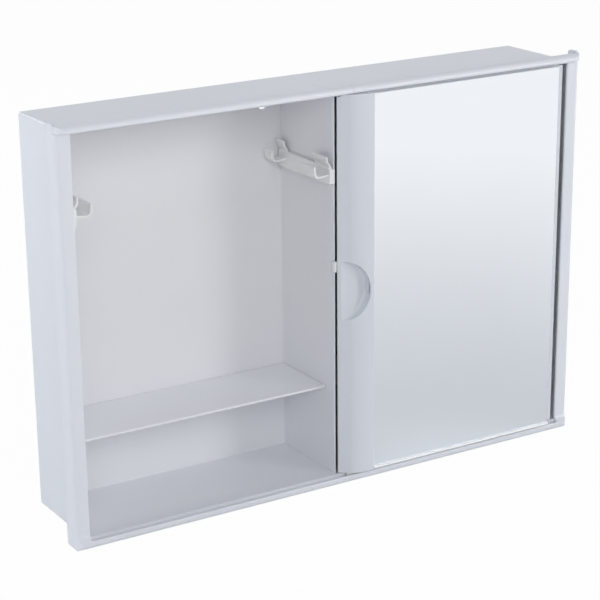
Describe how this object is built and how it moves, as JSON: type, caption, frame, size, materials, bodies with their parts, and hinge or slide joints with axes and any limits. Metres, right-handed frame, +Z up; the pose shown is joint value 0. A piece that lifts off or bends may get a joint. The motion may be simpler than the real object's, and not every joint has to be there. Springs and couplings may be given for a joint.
{
  "type": "wall-hung bathroom cabinet with sliding mirror door",
  "caption": "White moulded wall cabinet with an open and a covered compartment, shelves, razor holders and a sliding mirror door with a finger recess.",
  "frame": {"origin": "centre of the tub's flat back face, which lies on the wall", "axes": "+X to the right as seen from the front, +Y into the wall, +Z up; the front faces -Y"},
  "size_m": [0.436, 0.0845, 0.3032],
  "materials": {
    "white_moulding": "moulded white polystyrene, satin gloss",
    "door_moulding": "moulded white plastic, smooth satin",
    "mirror": "3 mm silvered glass with ground edges",
    "nylon": "natural nylon, matt",
    "rubber": "grey rubber",
    "foam_tape": "white double-sided foam tape"
  },
  "bodies": {
    "cabinet": {"cabinet_body": "white_moulding", "top_rail": "white_moulding", "shelf_left": "white_moulding", "shelf_right": "white_moulding", "holder_left": "door_moulding", "holder_right": "door_moulding", "divider_pad": "nylon", "door_stop_left": "rubber", "door_stop_right": "rubber"},
    "door": {"door_panel": "door_moulding", "mirror_glass": "mirror", "mirror_trim": "door_moulding", "mirror_tape_1": "foam_tape", "mirror_tape_2": "foam_tape", "mirror_tape_3": "foam_tape", "glide_bottom_left": "nylon", "glide_bottom_right": "nylon", "glide_top_left": "nylon", "glide_top_right": "nylon"}
  },
  "joints": [
    {"name": "door_slide", "type": "slide", "parent": "cabinet", "child": "door", "axis": [-1, 0, 0], "range_m": [0, 0.205]}
  ]
}
